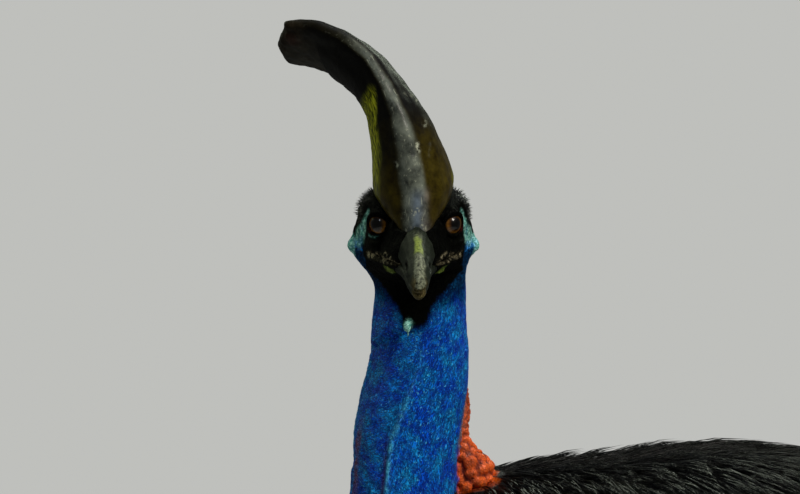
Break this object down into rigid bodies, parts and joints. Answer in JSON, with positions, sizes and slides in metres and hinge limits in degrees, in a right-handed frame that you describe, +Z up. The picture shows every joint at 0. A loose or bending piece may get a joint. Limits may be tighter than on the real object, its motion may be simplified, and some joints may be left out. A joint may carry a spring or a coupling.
{
  "type": "standing cassowary model",
  "caption": "Life-size model of a standing southern cassowary: tall bent casque, blue neck with red wattles, black hair-like plumage, stout scaled legs, head turned to its left.",
  "frame": {"origin": "on the floor, under the middle of the whole model's bounding box", "axes": "+Z up, -Y the way the breast faces, +X towards the bird's left side; the head is turned 67.5 degrees to its left"},
  "size_m": [0.444, 0.9458, 1.3991],
  "materials": {
    "plumage": "hair-like black feathers",
    "neck_skin": "wrinkled blue skin",
    "head_skin": "fine wrinkled blue and black skin",
    "wattle_skin": "soft grainy red skin",
    "caruncle_skin": "lumpy orange-red skin",
    "casque_horn": "worn dark horn",
    "bill_horn": "worn scaly horn",
    "eye": "wet glossy eye",
    "leg_scale": "horny scales",
    "claw_horn": "worn dark horn"
  },
  "bodies": {
    "root": {"bill_lower": "bill_horn", "bill_upper": "bill_horn", "casque": "casque_horn", "claw_inner_left": "claw_horn", "claw_inner_right": "claw_horn", "claw_middle_left": "claw_horn", "claw_middle_right": "claw_horn", "claw_outer_left": "claw_horn", "claw_outer_right": "claw_horn", "eye_left": "eye", "eye_right": "eye", "foot_left": "leg_scale", "foot_right": "leg_scale", "head": "head_skin", "nape_caruncles": "caruncle_skin", "neck_lower": "neck_skin", "neck_middle": "neck_skin", "neck_upper": "neck_skin", "shank_left": "leg_scale", "shank_right": "leg_scale", "tail": "plumage", "thigh_left": "plumage", "thigh_right": "plumage", "throat_tag": "head_skin", "toe_inner_left": "leg_scale", "toe_inner_right": "leg_scale", "toe_middle_left": "leg_scale", "toe_middle_right": "leg_scale", "toe_outer_left": "leg_scale", "toe_outer_right": "leg_scale", "trunk": "plumage", "wattle_left": "wattle_skin", "wattle_right": "wattle_skin", "wing_left": "plumage", "wing_right": "plumage"}
  },
  "joints": []
}
